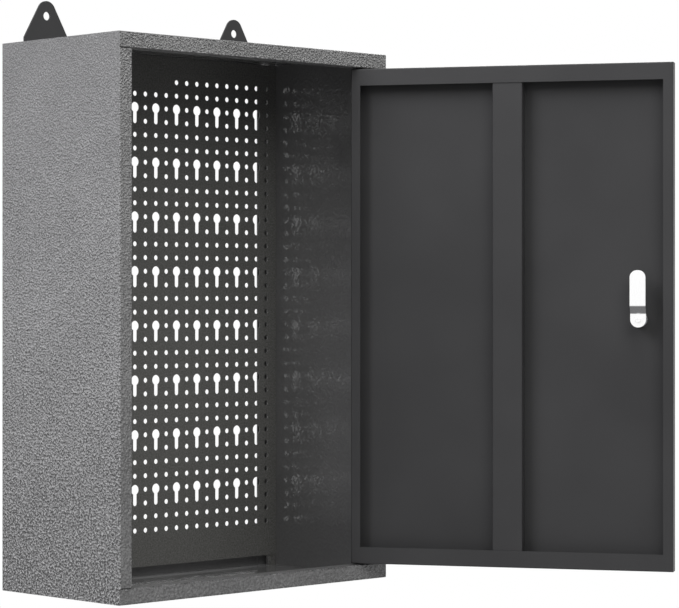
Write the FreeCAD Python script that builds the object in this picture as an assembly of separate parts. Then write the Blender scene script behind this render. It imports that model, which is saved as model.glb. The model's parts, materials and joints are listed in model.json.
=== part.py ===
# Wall-mounted tool cabinet: a folded sheet-steel box with a perforated back panel, two hanging ears
# and a lockable door that stands open.
# Millimetres. +X is the cabinet's right, +Y points into the wall and +Z is up. The origin lies midway
# between the two hanging holes, in the plane of the ears' rear faces.
import FreeCAD
import Part
import math
import os

# Box
width = 400.0
depth = 200.0
height = 600.0
sheet = 1.0
bend = 0.5
seam = 0.5

# Front frame
rail = 17.3
rail_lip = 15.0
left_stile = 17.0
right_stile = 15.0
hinge_return = 14.0
stop_lip = 8.0
stop_gap = 0.3

# Rear edge
rear_flange = 15.2
end_flange = 15.0

# Perforated back panel
hook_space = 18.0
panel_foot = 13.7
panel_angle_leg = 11.0
column_pitch = 15.84
row_pitch = 15.59
first_row_drop = 30.3
last_row_margin = 50.0
side_margin = 12.0
peg_hole = 5.8
key_head = 11.6
key_slot = 5.8
key_row_step = 4
key_first_row = 2
top_blank = 60.0

# Hanging ears
ear_plate = 2.0
ear_setback = 4.4
ear_width = 63.2
ear_from_side = 58.0
ear_shoulder = 9.0
ear_tip_radius = 12.5
ear_tip_height = 38.4
ear_hole = 9.5
ear_hole_height = 34.2
ear_overlap = 13.0
rivet_drop = 7.5
rivet_spacing = 40.0
rivet_shank = 4.0
rivet_head = 8.0
rivet_head_height = 1.8
rivet_sink = 1.5

# Door
door_gap = 1.5
door_depth = 20.0
door_end_return = 19.0
door_side_return = 11.0
stiffener_width = 34.0
stiffener_from_hinge = 180.0
stiffener_foot = 8.0
open_angle = 121.0

# Hinge pivots
pivot_from_edge = 13.0
pivot_setback = 5.0
pin = 4.0
pin_head = 7.0
pin_head_height = 1.5
lower_pin_tip = 1.0
upper_pin_tip = 3.5
pin_chamfer = 0.5
bush_wall = 1.0
bush_flange = 8.0
bush_tail = 2.0
running_gap = 0.1
fit_gap = 0.05
hinge_plate = 2.0
hinge_plate_length = 40.0
hinge_plate_width = 16.0
hinge_plate_corner = 2.0
clip_ring = 7.0
clip_thickness = 0.8
clip_mouth = 2.0

# Cam lock
lock_from_edge = 38.6
lock_height = 297.0
bezel = 17.0
bezel_height = 2.2
bezel_edge = 1.1
barrel = 12.0
barrel_length = 15.5
barrel_flat = 10.6
plug = 8.0
plug_recess = 0.4
plug_square = 6.0
keyway_width = 1.1
keyway_length = 5.6
keyway_depth = 7.0
washer = 16.0
washer_thickness = 0.8
nut_flats = 15.0
nut_thickness = 4.0
cam_width = 17.4
cam_plate = 2.5
cam_reach = 54.6
cam_tip_radius = 8.0
cam_crank_start = 6.5
cam_crank_length = 8.5
cam_bend = 0.8
cam_clear = 0.5
cam_washer_size = 9.0
cam_washer_thickness = 0.8
screw_shank = 4.0
screw_length = 9.0
screw_head = 7.0
screw_head_height = 1.8
screw_edge = 0.5
screw_tip_gap = 0.5
screw_slot_width = 1.0
screw_slot_depth = 0.9

# Places that follow from the sizes above, measured from the lower left front corner of the box
rear = depth
panel_front = rear - hook_space - sheet
ear_rear = rear - ear_setback
top_flange_rear = ear_rear - ear_plate
opening_left = left_stile
opening_right = width - right_stile
opening_bottom = rail
opening_top = height - rail
door_left = opening_left + door_gap
door_right = opening_right - door_gap
door_bottom = opening_bottom + door_gap
door_top = opening_top - door_gap
pivot_x = door_right - pivot_from_edge
pivot_y = pivot_setback
stop_front = door_depth + stop_gap
lock_x = door_left + lock_from_edge
cam_front = sheet + barrel_length + running_gap
tongue_front = stop_front + sheet + cam_clear
ear_hole_z = height + ear_hole_height
origin = FreeCAD.Vector(width / 2, ear_rear, ear_hole_z)

UP = FreeCAD.Vector(0, 0, 1)
ACROSS = FreeCAD.Vector(1, 0, 0)
INWARD = FreeCAD.Vector(0, 1, 0)


def seen_from_top(a, b):
    return FreeCAD.Vector(a, b, 0)


def seen_from_side(a, b):
    return FreeCAD.Vector(0, a, b)


def seen_from_front(a, b):
    return FreeCAD.Vector(a, 0, b)


def block(x0, x1, y0, y1, z0, z1):
    return Part.makeBox(x1 - x0, y1 - y0, z1 - z0, FreeCAD.Vector(x0, y0, z0))


def rod(diameter, start, end):
    axis = end - start
    return Part.makeCylinder(diameter / 2, axis.Length, start, axis)


def rounded_path(points, radii):
    """Edges along the points, with each inner corner rounded to its radius."""
    edges = []
    start = points[0]
    for before, corner, after, radius in zip(points, points[1:], points[2:], radii):
        back = (before - corner).normalize()
        ahead = (after - corner).normalize()
        half = back.getAngle(ahead) / 2
        reach = radius / math.tan(half)
        inward = (back + ahead).normalize()
        centre = corner + inward * (radius / math.sin(half))
        arc_start = corner + back * reach
        arc_end = corner + ahead * reach
        edges.append(Part.makeLine(start, arc_start))
        edges.append(Part.Arc(arc_start, centre - inward * radius, arc_end).toShape())
        start = arc_end
    edges.append(Part.makeLine(start, points[-1]))
    return edges


def folded(path, view, run, thickness=sheet, inner_radius=bend):
    """Folded strip whose right-hand face follows the path, swept along run."""
    steps = [FreeCAD.Vector(b[0] - a[0], b[1] - a[1], 0).normalize() for a, b in zip(path, path[1:])]
    normals = [FreeCAD.Vector(-step.y, step.x, 0) for step in steps]
    offsets = [normals[0]]
    for first, second in zip(normals, normals[1:]):
        offsets.append((first + second) * (1 / (1 + first.dot(second))))
    offsets.append(normals[-1])
    near = [FreeCAD.Vector(a, b, 0) for a, b in path]
    far = [point + offset * thickness for point, offset in zip(near, offsets)]
    left_turns = [first.cross(second).z > 0 for first, second in zip(steps, steps[1:])]
    outer_radius = inner_radius + thickness
    near_radii = [outer_radius if left else inner_radius for left in left_turns]
    far_radii = [inner_radius if left else outer_radius for left in left_turns]
    near = [view(point.x, point.y) for point in near]
    far = [view(point.x, point.y) for point in far]
    edges = rounded_path(near, near_radii)
    edges.append(Part.makeLine(near[-1], far[-1]))
    edges += rounded_path(far[::-1], far_radii[::-1])
    edges.append(Part.makeLine(far[0], near[0]))
    return Part.Face(Part.Wire(edges)).extrude(run)


def mirrored(shape):
    """The same piece for the other side of the cabinet."""
    return shape.mirror(FreeCAD.Vector(width / 2, 0, 0), ACROSS)


def side_panel(stile_path):
    """Left-handed side: stile between the rails in front, flange behind, and a flat that the rails lap.

    The flange stands on the floor of the box, so the fold is cut away below it.
    """
    path = [(rear_flange, rear), (0, rear), (0, 0)] + stile_path
    panel = folded(path, seen_from_top, UP * height)
    reach = max(point[0] for point in path) + sheet
    back = max(point[1] for point in stile_path) + 2 * sheet
    for z0, z1 in ((0, rail + seam), (height - rail - seam, height)):
        panel = panel.cut(block(0, reach, 0, sheet, z0, z1))
        panel = panel.cut(block(sheet, reach, 0, back, z0, z1))
    return panel.cut(block(sheet, reach, rear - bend - sheet, rear, 0, sheet))


def left_side_panel():
    """The lock side's stile turns back beside the door and ends in the lip that stops the door."""
    return side_panel([(left_stile, 0), (left_stile, stop_front), (left_stile + stop_lip, stop_front)])


def right_side_panel():
    return mirrored(side_panel([(right_stile, 0), (right_stile, hinge_return)]))


def end_panel(flange_rear):
    """Floor of the box with its front rail, rail lip and rear flange, lying at z = 0."""
    path = [(rail_lip, rail), (0, rail), (0, 0), (flange_rear, 0), (flange_rear, end_flange)]
    panel = folded(path, seen_from_side, ACROSS * width)
    for x0, x1 in ((0, sheet), (width - sheet, width)):
        panel = panel.cut(block(x0, x1, sheet, flange_rear, 0, rail))
    corner = rear_flange + seam
    for x0, x1 in ((0, corner), (width - corner, width)):
        panel = panel.cut(block(x0, x1, flange_rear - bend - sheet, flange_rear, sheet, end_flange))
    bore = pin + 2 * (fit_gap + bush_wall + fit_gap)
    hinge = FreeCAD.Vector(pivot_x, pivot_y, 0)
    return panel.cut(rod(bore, hinge + UP * (rail - 2 * sheet), hinge + UP * (rail + sheet)))


def bottom_panel():
    return end_panel(rear)


def top_panel():
    """The floor turned over; its rear flange is set in behind the ears and takes their rivets."""
    panel = end_panel(top_flange_rear).mirror(FreeCAD.Vector(0, 0, height / 2), UP)
    for centre in rivet_centres():
        hole = rod(rivet_shank + 2 * fit_gap, centre - INWARD * (ear_plate + 2 * sheet), centre)
        panel = panel.cut(hole)
    return panel


def keyhole(x, z_head, z_end):
    """Outline of a keyhole: a round head with a slot below it that ends in a half circle."""
    half = key_slot / 2
    drop = math.sqrt((key_head / 2) ** 2 - half ** 2)
    neck_left = seen_from_front(x - half, z_head - drop)
    neck_right = seen_from_front(x + half, z_head - drop)
    end_left = seen_from_front(x - half, z_end)
    end_right = seen_from_front(x + half, z_end)
    head = Part.Arc(neck_left, seen_from_front(x, z_head + key_head / 2), neck_right)
    end = Part.Arc(end_right, seen_from_front(x, z_end - half), end_left)
    edges = [
        head.toShape(),
        Part.makeLine(neck_right, end_right),
        end.toShape(),
        Part.makeLine(end_left, neck_left),
    ]
    return Part.Wire(edges)


def perforation():
    """Outlines of the holes: a grid of round ones, with keyholes in every other column of some rows."""
    columns = int((width - 2 * sheet - 2 * side_margin) / column_pitch) + 1
    first_row = height - first_row_drop
    rows = int((first_row - last_row_margin) / row_pitch) + 1
    left = (width - (columns - 1) * column_pitch) / 2
    outlines = []
    for column in range(columns):
        x = left + column * column_pitch
        for row in range(rows):
            z = first_row - row * row_pitch
            place_in_group = (row - key_first_row) % key_row_step
            has_keys = column % 2 == 0 and row >= key_first_row
            under_key = has_keys and place_in_group == 1
            blank = row == 0 and abs(x - width / 2) < top_blank / 2
            if under_key or blank:
                continue
            if has_keys and place_in_group == 0 and row + 1 < rows:
                outlines.append(keyhole(x, z, z - row_pitch))
            else:
                circle = Part.makeCircle(peg_hole / 2, seen_from_front(x, z), INWARD)
                outlines.append(Part.Wire(circle))
    return outlines


def back_panel():
    """Flat perforated sheet across the box, open below its foot and welded to the angles behind it."""
    x0 = sheet + seam
    x1 = width - sheet - seam
    z0 = panel_foot
    z1 = height - sheet - seam
    corners = [(x0, z0), (x1, z0), (x1, z1), (x0, z1), (x0, z0)]
    outline = Part.makePolygon([seen_from_front(a, b) for a, b in corners])
    panel = Part.Face([outline] + perforation()).extrude(INWARD * sheet)
    panel.translate(INWARD * panel_front)
    return panel


def panel_angle():
    """Left-handed angle on the side of the box that carries the back panel and stands on the floor."""
    panel_rear = panel_front + sheet
    path = [(sheet, rear - 2 * sheet), (sheet, panel_rear), (sheet + panel_angle_leg, panel_rear)]
    angle = folded(path, seen_from_top, UP * (height - 2 * sheet - seam))
    angle.translate(UP * sheet)
    return angle


def ear_centres():
    return [ear_from_side, width - ear_from_side]


def rivet_centres():
    """Rear ends of the rivets, flush with the backs of the ears."""
    z = height - rivet_drop
    places = []
    for x in ear_centres():
        for side in (-0.5, 0.5):
            places.append(FreeCAD.Vector(x + side * rivet_spacing, ear_rear, z))
    return places


def rivet_body(rear_end, growth):
    """Shank and countersunk rear end of a rivet, grown by the clearance in its hole."""
    radius = rivet_shank / 2 + growth
    grip = ear_plate + sheet
    shank = Part.makeCylinder(radius, grip, rear_end - INWARD * grip, INWARD)
    sink = Part.makeCone(radius, radius + rivet_sink, rivet_sink, rear_end - INWARD * rivet_sink, INWARD)
    return shank.fuse(sink).removeSplitter()


def ear_rivets():
    """Dome heads inside the box, shanks through flange and ear, rear ends countersunk in the ear."""
    head_base = ear_plate + sheet
    crown = head_base + rivet_head_height
    head_radius = rivet_head / 2
    shank_radius = rivet_shank / 2
    dome_radius = (head_radius ** 2 + rivet_head_height ** 2) / (2 * rivet_head_height)
    half_angle = math.asin(head_radius / dome_radius) / 2
    rise = dome_radius * (1 - math.cos(half_angle))
    on_dome = seen_from_top(dome_radius * math.sin(half_angle), rise - crown)
    dome = Part.Arc(seen_from_top(0, -crown), on_dome, seen_from_top(head_radius, -head_base))
    corners = [
        (head_radius, -head_base),
        (shank_radius, -head_base),
        (shank_radius, -rivet_sink),
        (shank_radius + rivet_sink, 0),
        (0, 0),
        (0, -crown),
    ]
    points = [seen_from_top(a, b) for a, b in corners]
    edges = [dome.toShape()] + [Part.makeLine(a, b) for a, b in zip(points, points[1:])]
    rivet = Part.Face(Part.Wire(edges)).revolve(FreeCAD.Vector(), INWARD, 360)
    return Part.makeCompound([rivet.translated(rear_end) for rear_end in rivet_centres()])


def hanging_ear(x):
    """Plate with upright edges, a taper tangent to the round tip, and the hanging hole."""
    half = ear_width / 2
    foot = height - ear_overlap
    shoulder = height + ear_shoulder
    tip = height + ear_tip_height
    reach = math.hypot(half, tip - shoulder)
    turn = math.acos(ear_tip_radius / reach) - math.atan2(tip - shoulder, half)
    touch_x = ear_tip_radius * math.cos(turn)
    touch_z = tip + ear_tip_radius * math.sin(turn)
    corners = [
        (x - touch_x, touch_z),
        (x - half, shoulder),
        (x - half, foot),
        (x + half, foot),
        (x + half, shoulder),
        (x + touch_x, touch_z),
    ]
    points = [seen_from_front(a, b) for a, b in corners]
    crown = seen_from_front(x, tip + ear_tip_radius)
    edges = [Part.makeLine(a, b) for a, b in zip(points, points[1:])]
    edges.append(Part.Arc(points[-1], crown, points[0]).toShape())
    plate = Part.Face(Part.Wire(edges)).extrude(INWARD * ear_plate)
    plate.translate(INWARD * top_flange_rear)
    hole = FreeCAD.Vector(x, ear_rear, ear_hole_z)
    plate = plate.cut(rod(ear_hole, hole - INWARD * 2 * ear_plate, hole + INWARD))
    for rear_end in rivet_centres():
        plate = plate.cut(rivet_body(rear_end, fit_gap))
    return plate


def hinge_bush():
    """Flanged nylon bush of the lower pivot: the flange carries the door, the tail goes down in the lip."""
    seat = FreeCAD.Vector(pivot_x, pivot_y, opening_bottom)
    outer = pin + 2 * (fit_gap + bush_wall)
    top = seat + UP * (door_gap - running_gap)
    foot = seat - UP * (sheet + bush_tail)
    bush = rod(bush_flange, seat, top).fuse(rod(outer, foot, top)).removeSplitter()
    return bush.cut(rod(pin + 2 * fit_gap, foot, top))


def hinge_pin(past_bush):
    """Headed pivot pin of the lower corner, from the hinge plate down through the bush."""
    plate_top = FreeCAD.Vector(pivot_x, pivot_y, door_bottom + sheet + hinge_plate)
    end = FreeCAD.Vector(pivot_x, pivot_y, opening_bottom - sheet - bush_tail - past_bush)
    head = rod(pin_head, plate_top, plate_top + UP * pin_head_height)
    shank = rod(pin, end, plate_top)
    tip = [edge for edge in shank.Edges if edge.BoundBox.ZMax < end.z + pin_chamfer]
    return shank.makeChamfer(pin_chamfer, tip).fuse(head).removeSplitter()


def hinge_plate_piece():
    """Plate on the door's lower edge that gives the pivot pin its depth of metal."""
    x1 = door_right - sheet - bend
    y0 = sheet + bend
    z0 = door_bottom + sheet
    plate = block(x1 - hinge_plate_length, x1, y0, y0 + hinge_plate_width, z0, z0 + hinge_plate)
    corners = [edge for edge in plate.Edges if edge.BoundBox.ZLength > hinge_plate / 2]
    plate = plate.makeFillet(hinge_plate_corner, corners)
    return plate.cut(rod(pin + 2 * fit_gap, pivot_foot(), pivot_foot() + UP * height))


def pivot_foot():
    return FreeCAD.Vector(pivot_x, pivot_y, 0)


def upside_down(shape):
    """The same hinge piece for the door's upper corner."""
    return shape.mirror(FreeCAD.Vector(0, 0, height / 2), UP)


def upper_pin_clip():
    """Open ring in the rail, sprung on the upper pin just above the bush."""
    seat = pivot_foot() + UP * (opening_top + sheet + bush_tail + running_gap)
    top = seat + UP * clip_thickness
    ring = rod(clip_ring, seat, top).cut(rod(pin + 2 * fit_gap, seat, top))
    half = clip_mouth / 2
    return ring.cut(block(pivot_x - half, pivot_x + half, pivot_y, depth, 0, height))


def door_panel():
    """Pan with walls and returns folded from one sheet, holed for the pivot pins and the lock barrel."""
    pan = block(door_left, door_right, 0, door_depth, door_bottom, door_top)
    folds = [edge for edge in pan.Edges if edge.BoundBox.YLength < door_depth / 2]
    pan = pan.makeFillet(bend + sheet, folds)
    hollow = block(
        door_left + sheet,
        door_right - sheet,
        sheet,
        door_depth - sheet,
        door_bottom + sheet,
        door_top - sheet,
    )
    inner_folds = [edge for edge in hollow.Edges if edge.BoundBox.YLength < door_depth / 2]
    pan = pan.cut(hollow.makeFillet(bend, inner_folds))
    mouth = block(
        door_left + door_side_return,
        door_right - door_side_return,
        door_depth / 2,
        door_depth,
        door_bottom + door_end_return,
        door_top - door_end_return,
    )
    pan = pan.cut(mouth)
    pan = pan.cut(rod(pin + 2 * fit_gap, pivot_foot(), pivot_foot() + UP * height))
    return pan.cut(lock_barrel(fit_gap))


def door_stiffener():
    """Channel open to the skin, its face just under the returns and its feet turned in against the skin."""
    middle = door_right - stiffener_from_hinge
    half = stiffener_width / 2
    inner_face = door_depth - sheet
    foot = half - stiffener_foot
    right_half = [(foot, sheet), (half, sheet), (half, inner_face)]
    left_half = [(-a, b) for a, b in reversed(right_half)]
    path = [(middle + a, b) for a, b in right_half + left_half]
    end = sheet + bend
    channel = folded(path, seen_from_top, UP * (door_top - door_bottom - 2 * end))
    channel.translate(UP * (door_bottom + end))
    return channel


def lock_axis(y):
    return FreeCAD.Vector(lock_x, y, lock_height)


def lock_barrel(growth):
    """Barrel with two flats that keep it from turning in the skin, grown by the clearance in its hole."""
    radius = barrel / 2 + growth
    flat = barrel_flat / 2 + growth
    round_bar = Part.makeCylinder(radius, sheet + barrel_length, lock_axis(0), INWARD)
    flats = block(lock_x - flat, lock_x + flat, 0, depth, lock_height - radius, lock_height + radius)
    return round_bar.common(flats)


def lock_housing():
    bezel_disc = rod(bezel, lock_axis(-bezel_height), lock_axis(0))
    rim = [edge for edge in bezel_disc.Edges if edge.BoundBox.YMax < -bezel_height / 2]
    rim = [edge for edge in rim if edge.Closed]
    bezel_disc = bezel_disc.makeFillet(bezel_edge, rim)
    housing = bezel_disc.fuse(lock_barrel(0)).removeSplitter()
    bore = rod(plug + 2 * fit_gap, lock_axis(-2 * bezel_height), lock_axis(2 * barrel_length))
    return housing.cut(bore)


def lock_washer():
    ring = rod(washer, lock_axis(sheet), lock_axis(sheet + washer_thickness))
    return ring.cut(rod(barrel + 2 * fit_gap, lock_axis(0), lock_axis(barrel_length)))


def lock_nut():
    seat = sheet + washer_thickness
    corner = nut_flats / 2 / math.cos(math.radians(30))
    points = []
    for step in range(7):
        turn = math.radians(60 * step)
        across = FreeCAD.Vector(corner * math.cos(turn), 0, corner * math.sin(turn))
        points.append(lock_axis(seat) + across)
    nut = Part.Face(Part.makePolygon(points)).extrude(INWARD * nut_thickness)
    return nut.cut(rod(barrel + 2 * fit_gap, lock_axis(0), lock_axis(barrel_length)))


def lock_plug():
    """Round core with the keyway in front and a square behind for the cam."""
    front = plug_recess - bezel_height
    core = rod(plug, lock_axis(front), lock_axis(cam_front))
    half = plug_square / 2
    square_end = cam_front + cam_plate - running_gap
    square = block(
        lock_x - half, lock_x + half, cam_front, square_end, lock_height - half, lock_height + half
    )
    core = core.fuse(square).removeSplitter()
    half_slot = keyway_width / 2
    half_length = keyway_length / 2
    keyway = block(
        lock_x - half_slot,
        lock_x + half_slot,
        front,
        front + keyway_depth,
        lock_height - half_length,
        lock_height + half_length,
    )
    core = core.cut(keyway)
    thread = rod(screw_shank + 2 * fit_gap, lock_axis(square_end - screw_length), lock_axis(depth))
    return core.cut(thread)


def lock_cam():
    """Cranked plate: round hub on the plug's square, then a tongue set back behind the stop lip."""
    hub_end = cam_width / 2
    crank_end = cam_crank_start + cam_crank_length
    section = [
        (cam_front + cam_plate, -hub_end),
        (cam_front + cam_plate, cam_crank_start),
        (tongue_front + cam_plate, crank_end),
        (tongue_front + cam_plate, cam_reach),
    ]
    strip = folded(section, seen_from_side, ACROSS * cam_width, cam_plate, cam_bend)
    strip.translate(FreeCAD.Vector(-hub_end, 0, 0))
    tip = cam_reach - cam_tip_radius
    flat = hub_end - cam_tip_radius
    slant = cam_tip_radius * math.sqrt(0.5)
    edges = [
        Part.Arc(
            seen_from_front(-hub_end, 0), seen_from_front(0, -hub_end), seen_from_front(hub_end, 0)
        ).toShape(),
        Part.makeLine(seen_from_front(hub_end, 0), seen_from_front(hub_end, tip)),
        Part.Arc(
            seen_from_front(hub_end, tip),
            seen_from_front(flat + slant, tip + slant),
            seen_from_front(flat, cam_reach),
        ).toShape(),
        Part.makeLine(seen_from_front(flat, cam_reach), seen_from_front(-flat, cam_reach)),
        Part.Arc(
            seen_from_front(-flat, cam_reach),
            seen_from_front(-flat - slant, tip + slant),
            seen_from_front(-hub_end, tip),
        ).toShape(),
        Part.makeLine(seen_from_front(-hub_end, tip), seen_from_front(-hub_end, 0)),
    ]
    outline = Part.Face(Part.Wire(edges)).extrude(INWARD * depth)
    cam = strip.common(outline)
    hole = plug_square / 2 + fit_gap
    cam = cam.cut(block(-hole, hole, 0, depth, -hole, hole))
    cam.translate(FreeCAD.Vector(lock_x, 0, lock_height))
    return cam


def cam_washer():
    seat = cam_front + cam_plate
    ring = rod(cam_washer_size, lock_axis(seat), lock_axis(seat + cam_washer_thickness))
    return ring.cut(rod(screw_shank + 2 * fit_gap, lock_axis(0), lock_axis(depth)))


def cam_screw():
    """Slotted cheese-head screw in the end of the plug."""
    seat = cam_front + cam_plate + cam_washer_thickness
    top = seat + screw_head_height
    tail = cam_front + cam_plate - running_gap - screw_length + screw_tip_gap
    screw = rod(screw_shank, lock_axis(tail), lock_axis(seat))
    head = rod(screw_head, lock_axis(seat), lock_axis(top))
    rim = [edge for edge in head.Edges if edge.Closed and edge.BoundBox.YMin > seat + screw_edge]
    head = head.makeFillet(screw_edge, rim)
    half = screw_slot_width / 2
    slot = block(
        lock_x - screw_head,
        lock_x + screw_head,
        top - screw_slot_depth,
        top,
        lock_height - half,
        lock_height + half,
    )
    return screw.fuse(head).removeSplitter().cut(slot)


def swung_open(shape):
    """Turns a piece of the closed door about the pivots to where the open door stands."""
    turned = shape.copy()
    turned.rotate(pivot_foot(), UP, open_angle)
    return turned


def export(node, shape):
    placed = shape.copy()
    placed.translate(FreeCAD.Vector() - origin)
    placed.exportStep("parts/" + node + ".step")


os.makedirs("parts", exist_ok=True)

export("left_side_panel", left_side_panel())
export("right_side_panel", right_side_panel())
export("top_panel", top_panel())
export("bottom_panel", bottom_panel())
export("back_panel", back_panel())
export("left_panel_angle", panel_angle())
export("right_panel_angle", mirrored(panel_angle()))
export("left_hanging_ear", hanging_ear(ear_from_side))
export("right_hanging_ear", hanging_ear(width - ear_from_side))
export("ear_rivets", ear_rivets())
export("lower_hinge_bush", hinge_bush())
export("upper_hinge_bush", upside_down(hinge_bush()))

door_pieces = {
    "door_panel": door_panel(),
    "door_stiffener": door_stiffener(),
    "lower_hinge_plate": hinge_plate_piece(),
    "upper_hinge_plate": upside_down(hinge_plate_piece()),
    "lower_hinge_pin": hinge_pin(lower_pin_tip),
    "upper_hinge_pin": upside_down(hinge_pin(upper_pin_tip)),
    "upper_pin_clip": upper_pin_clip(),
    "lock_housing": lock_housing(),
    "lock_washer": lock_washer(),
    "lock_nut": lock_nut(),
    "lock_plug": lock_plug(),
    "lock_cam": lock_cam(),
    "cam_washer": cam_washer(),
    "cam_screw": cam_screw(),
}
for node, shape in door_pieces.items():
    export(node, swung_open(shape))
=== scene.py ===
# Wall-mounted tool cabinet of folded sheet steel, hung by two ears, with its door standing open.
# All sizes are in metres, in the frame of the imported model: +X is the cabinet's right, +Y points into
# the wall, +Z is up, and the origin lies midway between the hanging holes, on the ears' rear faces.
import json
import math

import bpy
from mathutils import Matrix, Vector


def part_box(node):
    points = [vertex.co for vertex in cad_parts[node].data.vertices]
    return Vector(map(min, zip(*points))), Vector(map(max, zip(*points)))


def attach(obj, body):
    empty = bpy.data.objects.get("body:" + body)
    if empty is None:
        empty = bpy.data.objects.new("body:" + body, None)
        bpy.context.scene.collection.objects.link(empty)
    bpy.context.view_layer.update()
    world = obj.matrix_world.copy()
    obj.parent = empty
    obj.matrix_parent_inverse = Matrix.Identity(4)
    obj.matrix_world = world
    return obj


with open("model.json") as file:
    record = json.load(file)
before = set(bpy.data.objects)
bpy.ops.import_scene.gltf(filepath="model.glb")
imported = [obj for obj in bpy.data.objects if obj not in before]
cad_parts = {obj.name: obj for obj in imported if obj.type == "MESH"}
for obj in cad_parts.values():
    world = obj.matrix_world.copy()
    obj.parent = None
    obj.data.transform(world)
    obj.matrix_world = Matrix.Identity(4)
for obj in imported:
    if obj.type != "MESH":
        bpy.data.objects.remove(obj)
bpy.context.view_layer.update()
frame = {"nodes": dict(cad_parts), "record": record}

# Box panels: sides, top and bottom, each folded from one sheet of 1 mm steel and welded at the corners.
# They are powder coated in a grey hammertone. Its wrinkles are boldest at the foot of the sides and at
# the top of the front frame, and faint on the lips and inside, where the film is also glossy.
hammer_valley = (0.10, 0.10, 0.1015, 1)
hammer_ridge = (0.50, 0.50, 0.506, 1)
hammer_gloss = 0.6
wrinkle_at_top = 0.0019
wrinkle_at_foot = 0.0025
wrinkle_inside = 0.0035
wrinkle_height = 0.0040
wrinkle_bend = 0.4
wrinkle_low = 0.25
wrinkle_high = 0.75
film_grain_size = 0.0011
film_grain_height = 0.0004
film_at_top = 0.14
film_at_foot = 1.25
front_film_at_top = 0.7
front_film_at_foot = 0.25
film_inside = 0.036
# Painted light and shade: sides darker at the top, front frame darker at its foot, as the light falls.
painted_shade_at_top = 0.095
painted_shade_at_middle = 0.31
painted_shade_at_foot = 0.36
front_painted_shade_at_top = 0.37
front_painted_shade_at_foot = 0.08
# Painted shade: the turned-in lips are painted near black, for the shade under the rails.
painted_shade_on_lips = 0.0
# Painted shade: the inside of the box is painted darker than the outside, for the shade within it.
painted_shade_inside = 0.19
# Ridges painted lighter and valleys darker: partly the hammertone's own colour, partly painted shade.
wrinkle_light_and_shade = 0.85
mottle_size = 0.09
mottle_shift = 0.033
valley_roughness = 0.55
ridge_roughness = 0.44
roughness_inside = 0.03
noise_low = 0.3
noise_high = 0.7


def begin_finish(name):
    """New material, with its node tree, its shader and the place of each point on the piece."""
    finish = bpy.data.materials.new(name)
    finish.use_nodes = True
    tree = finish.node_tree
    shader = tree.nodes["Principled BSDF"]
    place = tree.nodes.new("ShaderNodeTexCoord").outputs["Object"]
    return finish, tree, shader, place


def lumps(tree, place, size, detail=2.0, bend=0.0):
    """Soft noise from 0 to 1, whose lumps are about this size."""
    noise = tree.nodes.new("ShaderNodeTexNoise")
    noise.inputs["Scale"].default_value = 1 / size
    noise.inputs["Detail"].default_value = detail
    noise.inputs["Distortion"].default_value = bend
    tree.links.new(place, noise.inputs["Vector"])
    return noise.outputs["Fac"]


def spread(tree, value, from_low, from_high, to_low=0.0, to_high=1.0):
    """A value moved from one range to another, and held inside it."""
    remap = tree.nodes.new("ShaderNodeMapRange")
    tree.links.new(value, remap.inputs["Value"])
    remap.inputs["From Min"].default_value = from_low
    remap.inputs["From Max"].default_value = from_high
    remap.inputs["To Min"].default_value = to_low
    remap.inputs["To Max"].default_value = to_high
    return remap.outputs["Result"]


def between(tree, amount, low_colour, high_colour):
    """A colour that runs from one to the other as the amount goes from 0 to 1."""
    ramp = tree.nodes.new("ShaderNodeValToRGB")
    ramp.color_ramp.elements[0].color = low_colour
    ramp.color_ramp.elements[1].color = high_colour
    tree.links.new(amount, ramp.inputs["Fac"])
    return ramp.outputs["Color"]


def worked(tree, operation, first, second):
    """What the operation gives for two values, either of which may be a plain number."""
    step = tree.nodes.new("ShaderNodeMath")
    step.operation = operation
    for socket, value in zip(step.inputs, (first, second)):
        if isinstance(value, (int, float)):
            socket.default_value = value
        else:
            tree.links.new(value, socket)
    return step.outputs["Value"]


def raise_surface(tree, shader, height, distance, under=None):
    """Relief on the surface, of this height in metres where the pattern is 1, over another if given."""
    bump = tree.nodes.new("ShaderNodeBump")
    bump.inputs["Distance"].default_value = distance
    tree.links.new(height, bump.inputs["Height"])
    if under is not None:
        tree.links.new(under, bump.inputs["Normal"])
    tree.links.new(bump.outputs["Normal"], shader.inputs["Normal"])
    return bump.outputs["Normal"]


def coat(finish, *nodes):
    """Puts the finish on the whole of each of these CAD pieces."""
    for node in nodes:
        mesh = frame["nodes"][node].data
        mesh.materials.clear()
        mesh.materials.append(finish)


def within(tree, value, low, high):
    """1 where the value lies between the two limits, and 0 elsewhere."""
    above = worked(tree, "GREATER_THAN", value, low)
    below = worked(tree, "LESS_THAN", value, high)
    return worked(tree, "MULTIPLY", above, below)


def chosen(tree, share, first, second):
    """The first value where the share is 0, and the second where it is 1."""
    step = worked(tree, "SUBTRACT", second, first)
    return worked(tree, "ADD", first, worked(tree, "MULTIPLY", share, step))


def box_faces(tree, axes):
    """1 on the flat front faces, 1 on all that turns in behind them, and 1 on what lies behind the lips."""
    flush = 0.0001
    half_sheet = 0.0005
    lip_depth = 0.0155
    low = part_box("left_side_panel")[0]
    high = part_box("right_side_panel")[1]
    across = within(tree, axes["X"], low.x + half_sheet, high.x - half_sheet)
    upright = within(tree, axes["Z"], low.z + half_sheet, high.z - half_sheet)
    enclosed = worked(tree, "MULTIPLY", across, upright)
    front = worked(tree, "LESS_THAN", axes["Y"], low.y + flush)
    behind_front = worked(tree, "GREATER_THAN", axes["Y"], low.y + half_sheet)
    behind_lips = worked(tree, "GREATER_THAN", axes["Y"], low.y + lip_depth)
    turned_in = worked(tree, "MULTIPLY", enclosed, behind_front)
    inside = worked(tree, "MULTIPLY", enclosed, behind_lips)
    return front, turned_in, inside


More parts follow.
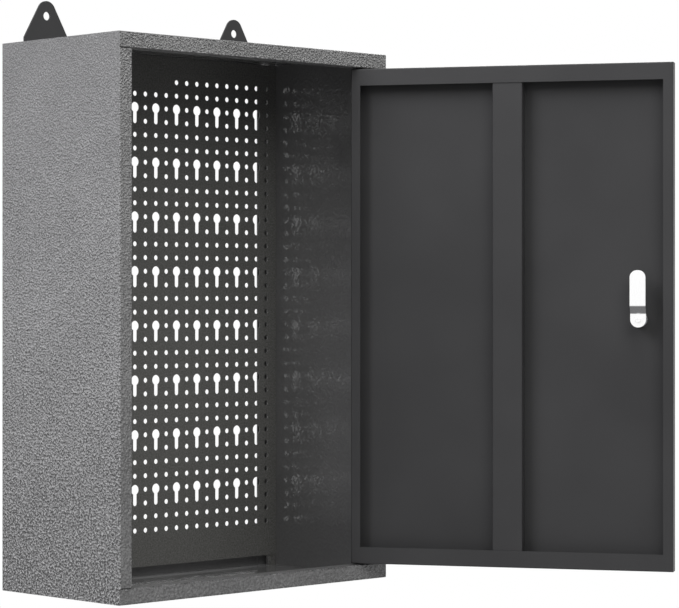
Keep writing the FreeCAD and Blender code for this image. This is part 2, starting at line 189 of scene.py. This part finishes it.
def hammertone():
    finish, tree, shader, place = begin_finish("hammertone_paint")
    split = tree.nodes.new("ShaderNodeSeparateXYZ")
    tree.links.new(place, split.inputs["Vector"])
    front, turned_in, inside = box_faces(tree, split.outputs)
    foot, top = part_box("left_side_panel")
    rise = spread(tree, split.outputs["Z"], foot.z, top.z)

    side_film = chosen(tree, rise, film_at_foot, film_at_top)
    front_film = chosen(tree, rise, front_film_at_foot, front_film_at_top)
    film = chosen(tree, turned_in, chosen(tree, front, side_film, front_film), film_inside)
    fine = lumps(tree, place, wrinkle_at_top, 0.0, wrinkle_bend)
    coarse = lumps(tree, place, wrinkle_at_foot, 0.0, wrinkle_bend)
    inner = lumps(tree, place, wrinkle_inside, 0.0, wrinkle_bend)
    wrinkles = chosen(tree, turned_in, chosen(tree, rise, coarse, fine), inner)
    ridge = spread(tree, wrinkles, wrinkle_low, wrinkle_high)

    # Painted light and shade: the tone runs with height, darker at the side tops and the front frame's foot.
    lower_half = spread(tree, rise, 0.0, 0.5)
    upper_half = spread(tree, rise, 0.5, 1.0)
    shaded_lower_tone = chosen(tree, lower_half, painted_shade_at_foot, painted_shade_at_middle)
    shaded_side_tone = chosen(tree, upper_half, shaded_lower_tone, painted_shade_at_top)
    shaded_front_tone = chosen(tree, rise, front_painted_shade_at_foot, front_painted_shade_at_top)
    shaded_outer_tone = chosen(tree, front, shaded_side_tone, shaded_front_tone)
    # Painted shade: the lips near black, and the inside darker than the outside.
    shaded_inner_tone = chosen(tree, inside, painted_shade_on_lips, painted_shade_inside)
    shaded_body_tone = chosen(tree, turned_in, shaded_outer_tone, shaded_inner_tone)
    # Partly painted light and shade: ridges lighter, valleys darker, most where the relief is boldest.
    wrinkle_shading = worked(tree, "MULTIPLY", worked(tree, "SUBTRACT", ridge, 0.5), film)
    tone = worked(tree, "ADD", shaded_body_tone, worked(tree, "MULTIPLY", wrinkle_shading, wrinkle_light_and_shade))
    cloud = lumps(tree, place, mottle_size)
    mottle = spread(tree, cloud, noise_low, noise_high, -mottle_shift, mottle_shift)
    tone = worked(tree, "ADD", tone, mottle)
    tree.links.new(between(tree, tone, hammer_valley, hammer_ridge), shader.inputs["Base Color"])

    outer_roughness = spread(tree, ridge, 0.0, 1.0, valley_roughness, ridge_roughness)
    roughness = chosen(tree, inside, outer_roughness, roughness_inside)
    tree.links.new(roughness, shader.inputs["Roughness"])
    shader.inputs["Specular IOR Level"].default_value = hammer_gloss
    relief = raise_surface(tree, shader, worked(tree, "MULTIPLY", ridge, film), wrinkle_height)
    grain = worked(tree, "MULTIPLY", lumps(tree, place, film_grain_size), film)
    raise_surface(tree, shader, grain, film_grain_height, relief)
    return finish


coat(hammertone(), "left_side_panel", "right_side_panel", "top_panel", "bottom_panel")

# Back panel and its angles: a perforated sheet for tool hooks, welded to two angles on the sides.
# They are powder coated in a fine-grained matt grey, darker than the box.
panel_low = (0.074, 0.074, 0.070, 1)
panel_high = (0.146, 0.145, 0.141, 1)
panel_gloss = 0.4
panel_roughest = 0.62
panel_smoothest = 0.5
fine_grain_size = 0.0018
fine_grain_height = 0.00006


def fine_grey():
    finish, tree, shader, place = begin_finish("fine_grey_paint")
    grain = lumps(tree, place, fine_grain_size)
    speckle = spread(tree, grain, noise_low, noise_high)
    tree.links.new(between(tree, speckle, panel_low, panel_high), shader.inputs["Base Color"])
    roughness = spread(tree, grain, noise_low, noise_high, panel_roughest, panel_smoothest)
    tree.links.new(roughness, shader.inputs["Roughness"])
    raise_surface(tree, shader, grain, fine_grain_height)
    shader.inputs["Specular IOR Level"].default_value = panel_gloss
    return finish


coat(fine_grey(), "back_panel", "left_panel_angle", "right_panel_angle")

# Hanging ears: two steel plates, blanked to shape, that stand up behind the top and carry the cabinet.
# They are powder coated in a smooth satin anthracite, with a faint orange peel in the film.
satin_low = (0.0364, 0.0364, 0.0377, 1)
satin_high = (0.0446, 0.0446, 0.0461, 1)
satin_gloss = 0.15
satin_roughest = 0.50
satin_smoothest = 0.42
peel_size = 0.0035
peel_height = 0.00003
cloud_size = 0.12


def satin_anthracite():
    finish, tree, shader, place = begin_finish("satin_anthracite_paint")
    cloud = spread(tree, lumps(tree, place, cloud_size), noise_low, noise_high)
    tree.links.new(between(tree, cloud, satin_low, satin_high), shader.inputs["Base Color"])
    peel = lumps(tree, place, peel_size)
    roughness = spread(tree, peel, noise_low, noise_high, satin_roughest, satin_smoothest)
    tree.links.new(roughness, shader.inputs["Roughness"])
    raise_surface(tree, shader, peel, peel_height)
    shader.inputs["Specular IOR Level"].default_value = satin_gloss
    return finish


satin_paint = satin_anthracite()
coat(satin_paint, "left_hanging_ear", "right_hanging_ear")

# Ear rivets: four steel rivets with dome heads inside the box, set flush in the ears behind.
# They are zinc plated, with the faint cloudiness of a barrel-plated part.
zinc_dull = (0.42, 0.43, 0.44, 1)
zinc_bright = (0.62, 0.63, 0.65, 1)
zinc_roughest = 0.45
zinc_smoothest = 0.3
zinc_cloud_size = 0.004
zinc_scratch_size = 0.0005
zinc_scratch_depth = 0.00001
plating_detail = 4.0


def plated_steel():
    finish, tree, shader, place = begin_finish("zinc_plated_steel")
    cloud = spread(tree, lumps(tree, place, zinc_cloud_size, plating_detail), noise_low, noise_high)
    tree.links.new(between(tree, cloud, zinc_dull, zinc_bright), shader.inputs["Base Color"])
    roughness = spread(tree, cloud, 0.0, 1.0, zinc_roughest, zinc_smoothest)
    tree.links.new(roughness, shader.inputs["Roughness"])
    raise_surface(tree, shader, lumps(tree, place, zinc_scratch_size), zinc_scratch_depth)
    shader.inputs["Metallic"].default_value = 1.0
    return finish


zinc_plate = plated_steel()
coat(zinc_plate, "ear_rivets")

# Hinge bushes: flanged nylon bushes pressed into the rail lips, above and below the door.
# Moulded in black, with the slight orange peel of the mould.
nylon_low = (0.012, 0.012, 0.012, 1)
nylon_high = (0.022, 0.022, 0.022, 1)
nylon_roughest = 0.5
nylon_smoothest = 0.4
nylon_peel_size = 0.0008
nylon_peel_height = 0.00002


def black_nylon():
    finish, tree, shader, place = begin_finish("black_nylon")
    peel = lumps(tree, place, nylon_peel_size)
    tree.links.new(between(tree, peel, nylon_low, nylon_high), shader.inputs["Base Color"])
    roughness = spread(tree, peel, noise_low, noise_high, nylon_roughest, nylon_smoothest)
    tree.links.new(roughness, shader.inputs["Roughness"])
    raise_surface(tree, shader, peel, nylon_peel_height)
    return finish


coat(black_nylon(), "upper_hinge_bush", "lower_hinge_bush")

# Door: a pan folded from 1 mm sheet with returns all round, and a channel spot welded up its middle.
# Both have the same satin anthracite paint as the ears.
coat(satin_paint, "door_panel", "door_stiffener")

# Hinge plates, pins and clip: 2 mm plates welded inside the door's corners, headed pins through them
# into the bushes, and a sprung ring on the upper pin. The plates are painted with the door, and the pins
# and the ring are zinc plated.
coat(satin_paint, "upper_hinge_plate", "lower_hinge_plate")
coat(zinc_plate, "upper_hinge_pin", "lower_hinge_pin", "upper_pin_clip")

# Cam lock: a die-cast housing through the door's skin, held from inside by a washer and a flat nut.
# The housing and the plug that the key turns are nickel plated, and the washer and nut zinc plated.
nickel_low = (0.50, 0.49, 0.47, 1)
nickel_high = (0.66, 0.65, 0.62, 1)
nickel_roughest = 0.3
nickel_smoothest = 0.2
nickel_cloud_size = 0.003
turning_line_size = 0.00025
turning_line_depth = 0.000006


def nickel_plate():
    finish, tree, shader, place = begin_finish("nickel_plate")
    cloud = spread(tree, lumps(tree, place, nickel_cloud_size, plating_detail), noise_low, noise_high)
    tree.links.new(between(tree, cloud, nickel_low, nickel_high), shader.inputs["Base Color"])
    roughness = spread(tree, cloud, 0.0, 1.0, nickel_roughest, nickel_smoothest)
    tree.links.new(roughness, shader.inputs["Roughness"])
    raise_surface(tree, shader, lumps(tree, place, turning_line_size), turning_line_depth)
    shader.inputs["Metallic"].default_value = 1.0
    return finish


nickel = nickel_plate()
coat(nickel, "lock_housing", "lock_plug")
coat(zinc_plate, "lock_washer", "lock_nut")

# Lock thread: the fine thread on the barrel between the nut and the cam, cut away along the two flats.
# It is rolled into the die casting and nickel plated with it.
thread_radius = 0.0060
thread_height = 0.00035
thread_pitch = 0.0010
thread_half_base = 0.0004
thread_root = 0.0001
thread_start = 0.0062
thread_end = 0.0160
flat_half = 0.0053
steps_per_turn = 48

joints = frame["record"]["behaviour"]["joints"]
lock_joint = next(joint for joint in joints if joint["name"] == "lock_turn")
lock_centre = Vector(lock_joint["pos_m"])
lock_inward = -Vector(lock_joint["axis"])
lock_up = Vector((0, 0, 1))
lock_side = lock_up.cross(lock_inward)


def thread_point(step, radius, offset):
    """A point on the thread, this far along the axis from the middle of the ridge, and held to the flats."""
    turn = 2 * math.pi * step / steps_per_turn
    depth = thread_start + thread_pitch * step / steps_per_turn + offset
    side = max(-flat_half, min(flat_half, radius * math.cos(turn)))
    rise = radius * math.sin(turn)
    return lock_centre + lock_side * side + lock_up * rise + lock_inward * depth


def lock_thread():
    steps = int((thread_end - thread_start) / thread_pitch * steps_per_turn)
    points = []
    for step in range(steps):
        points.append(thread_point(step, thread_radius - thread_root, -thread_half_base))
        points.append(thread_point(step, thread_radius + thread_height, 0))
        points.append(thread_point(step, thread_radius - thread_root, thread_half_base))
    faces = [(0, 1, 2), (3 * steps - 1, 3 * steps - 2, 3 * steps - 3)]
    for first in range(0, 3 * steps - 3, 3):
        for corner, following in ((0, 1), (1, 2), (2, 0)):
            faces.append((first + following, first + corner, first + corner + 3, first + following + 3))
    mesh = bpy.data.meshes.new("lock_thread")
    mesh.from_pydata([tuple(point) for point in points], [], faces)
    mesh.materials.append(nickel)
    piece = bpy.data.objects.new("lock_thread", mesh)
    bpy.context.scene.collection.objects.link(piece)
    return piece


thread = lock_thread()
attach(thread, "door")

# Lock cam: a cranked steel plate on the plug's square end, with a washer and a slotted screw.
# All three are bright zinc plated. The cam shows fine brush lines along its length, and the sloped band
# of its crank is painted dark, a painted shade for the dim reflection that this slope shows.
bright_low = (0.90, 0.90, 0.90, 1)
bright_high = (0.98, 0.98, 0.98, 1)
crank_shade_low = (0.205, 0.205, 0.21, 1)
crank_shade_high = (0.272, 0.272, 0.278, 1)
cam_roughest = 0.34
cam_smoothest = 0.24
crank_start = 0.0065
crank_end = 0.0150
crank_edge = 0.0005
brush_length = 0.02
brush_width = 0.0002
brush_depth = 0.000004


def bright_zinc():
    finish, tree, shader, place = begin_finish("bright_zinc_plate")
    stretch = tree.nodes.new("ShaderNodeMapping")
    stretch.inputs["Scale"].default_value = (1, 1, brush_width / brush_length)
    tree.links.new(place, stretch.inputs["Vector"])
    brush = lumps(tree, stretch.outputs["Vector"], brush_width)
    split = tree.nodes.new("ShaderNodeSeparateXYZ")
    tree.links.new(place, split.inputs["Vector"])
    # Painted shade: the crank's sloped band gets the dark colours, for the dim reflection it shows.
    low = lock_centre.z + crank_start
    high = lock_centre.z + crank_end
    over_start = spread(tree, split.outputs["Z"], low - crank_edge, low + crank_edge)
    under_end = spread(tree, split.outputs["Z"], high - crank_edge, high + crank_edge, 1.0, 0.0)
    crank_shade_mix = tree.nodes.new("ShaderNodeMix")
    crank_shade_mix.data_type = "RGBA"
    tree.links.new(worked(tree, "MULTIPLY", over_start, under_end), crank_shade_mix.inputs["Factor"])
    tree.links.new(between(tree, brush, bright_low, bright_high), crank_shade_mix.inputs["A"])
    tree.links.new(between(tree, brush, crank_shade_low, crank_shade_high), crank_shade_mix.inputs["B"])
    tree.links.new(crank_shade_mix.outputs["Result"], shader.inputs["Base Color"])
    roughness = spread(tree, brush, noise_low, noise_high, cam_roughest, cam_smoothest)
    tree.links.new(roughness, shader.inputs["Roughness"])
    raise_surface(tree, shader, brush, brush_depth)
    shader.inputs["Metallic"].default_value = 1.0
    return finish


coat(bright_zinc(), "lock_cam", "cam_washer", "cam_screw")

# Floor: a wide pale disc well below the hung cabinet. It catches the soft shadow, and pales to the white
# of the background further out.
floor_drop = 0.55
floor_radius = 2.2
floor_sides = 96
floor_colour = (0.5, 0.5, 0.5, 1)
floor_roughness = 0.9
pale_from = 0.7
pale_to = 2.0

side_low, side_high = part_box("left_side_panel")
floor_height = side_low.z - floor_drop
bpy.ops.mesh.primitive_circle_add(
    vertices=floor_sides, radius=floor_radius, fill_type="TRIFAN", location=(0, 0, floor_height)
)
floor = bpy.context.object
floor.name = "studio_floor"


def seen_directly(tree):
    """1 on rays from the camera, from gloss and through glass, and 0 on rays that light a surface."""
    path = tree.nodes.new("ShaderNodeLightPath")
    gloss = worked(tree, "MAXIMUM", path.outputs["Is Camera Ray"], path.outputs["Is Glossy Ray"])
    return worked(tree, "MAXIMUM", gloss, path.outputs["Is Transmission Ray"])


def studio_floor():
    finish, tree, shader, place = begin_finish("studio_floor")
    shader.inputs["Base Color"].default_value = floor_colour
    shader.inputs["Roughness"].default_value = floor_roughness
    reach = tree.nodes.new("ShaderNodeVectorMath")
    reach.operation = "LENGTH"
    tree.links.new(place, reach.inputs[0])
    pale = spread(tree, reach.outputs["Value"], pale_from, pale_to)
    white = tree.nodes.new("ShaderNodeEmission")
    mix = tree.nodes.new("ShaderNodeMixShader")
    tree.links.new(worked(tree, "MULTIPLY", pale, seen_directly(tree)), mix.inputs["Fac"])
    tree.links.new(shader.outputs["BSDF"], mix.inputs[1])
    tree.links.new(white.outputs["Emission"], mix.inputs[2])
    tree.links.new(mix.outputs["Shader"], tree.nodes["Material Output"].inputs["Surface"])
    return finish


floor.data.materials.append(studio_floor())

# Studio light: a soft surround, brighter above and white where it is looked at, with large softboxes in
# front and at the left, a strip overhead, and another softbox behind at the right.
surround_low = 0.08
surround_high = 0.67
surround_from = -0.1
surround_to = 0.7
surround_colour = (1, 1, 1, 1)
front_place = Vector((-0.7, -2.1, 0.9))
front_size = (1.2, 1.2)
front_power = 16.0
front_colour = (1.0, 0.995, 0.965)
overhead_place = Vector((0.0, -0.9, 1.1))
overhead_size = (1.0, 0.4)
overhead_power = 8.0
left_place = Vector((-1.5, -0.1, 0.85))
left_size = (1.1, 1.1)
left_power = 33.0
left_colour = (0.98, 0.975, 1.0)
right_place = Vector((1.9, 0.9, 0.6))
right_size = (0.8, 0.8)
right_power = 20.0
aim = (side_low + side_high) / 2


def softbox(name, place, size, power, colour):
    lamp = bpy.data.lights.new(name, "AREA")
    lamp.shape = "RECTANGLE"
    lamp.size, lamp.size_y = size
    lamp.energy = power
    lamp.color = colour
    stand = bpy.data.objects.new(name, lamp)
    stand.location = place
    stand.rotation_euler = (aim - place).to_track_quat("-Z", "Y").to_euler()
    bpy.context.scene.collection.objects.link(stand)


softbox("front_softbox", front_place, front_size, front_power, front_colour)
softbox("overhead_softbox", overhead_place, overhead_size, overhead_power, front_colour)
softbox("left_softbox", left_place, left_size, left_power, left_colour)
softbox("right_softbox", right_place, right_size, right_power, front_colour)

world = bpy.data.worlds.new("studio")
world.use_nodes = True
bpy.context.scene.world = world
surround_tree = world.node_tree
surround = surround_tree.nodes["Background"]
surround.inputs["Color"].default_value = surround_colour
sky = surround_tree.nodes.new("ShaderNodeSeparateXYZ")
direction = surround_tree.nodes.new("ShaderNodeTexCoord").outputs["Generated"]
surround_tree.links.new(direction, sky.inputs["Vector"])
overhead = spread(surround_tree, sky.outputs["Z"], surround_from, surround_to, surround_low, surround_high)
level = worked(surround_tree, "MAXIMUM", overhead, seen_directly(surround_tree))
surround_tree.links.new(level, surround.inputs["Strength"])

# Camera: level, at about half the cabinet's height and off its left front corner, with a long lens.
# The frame is shifted to the right so that the open door is in view.
camera_place = (-1.9551, -2.2627, -0.3112)
camera_turn = math.radians(46.260)
camera_lens = 137.707
sensor_width = 36.0
frame_shift = (0.09556, -0.01168)

camera_data = bpy.data.cameras.new("camera")
camera_data.sensor_width = sensor_width
camera_data.lens = camera_lens
camera_data.shift_x, camera_data.shift_y = frame_shift
camera = bpy.data.objects.new("camera", camera_data)
camera.location = camera_place
camera.rotation_euler = (math.pi / 2, 0, camera_turn - math.pi / 2)
bpy.context.scene.collection.objects.link(camera)
bpy.context.scene.camera = camera
bpy.context.scene.view_settings.view_transform = "Standard"
